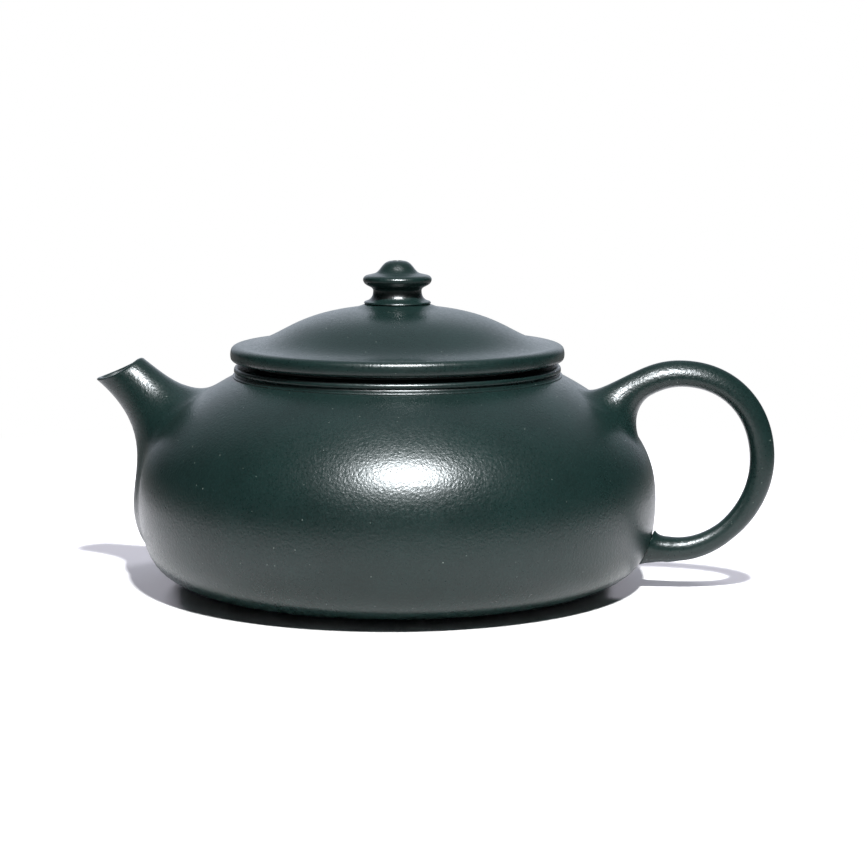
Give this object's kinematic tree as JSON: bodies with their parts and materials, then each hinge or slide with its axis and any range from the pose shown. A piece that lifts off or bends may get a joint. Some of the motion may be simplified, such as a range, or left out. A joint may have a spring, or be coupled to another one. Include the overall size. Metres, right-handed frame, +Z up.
{
  "type": "teapot",
  "caption": "Low round unglazed stoneware teapot with a short straight spout, round loop handle and lift-off domed lid with a turned knob.",
  "frame": {"origin": "centre of the foot, on the table", "axes": "+Z up, spout towards -X, handle towards +X; the pot is mirror-symmetric across the XZ plane"},
  "size_m": [0.1585, 0.12, 0.0746],
  "materials": {
    "clay_body": "unglazed, fine-grained, burnished to a satin sheen",
    "clay_lid": "unglazed, fine-grained, burnished to a satin sheen",
    "clay_base": "unglazed, matt, left from the turntable",
    "clay_inside": "unglazed, matt, trimmed with a knife"
  },
  "bodies": {
    "pot": {"body_wall": "clay_body", "base_disc": "clay_base", "shoulder_ring": "clay_body", "mouth_ring": "clay_body", "spout": "clay_body", "strainer": "clay_inside", "handle": "clay_body"},
    "lid": {"lid_dome": "clay_lid", "lid_seat_ring": "clay_lid", "lid_flange": "clay_inside", "knob": "clay_lid"}
  },
  "joints": [
    {"name": "lid_lift", "type": "slide", "parent": "pot", "child": "lid", "axis": [0, 0, 1], "range_m": [0, 0.06]}
  ]
}
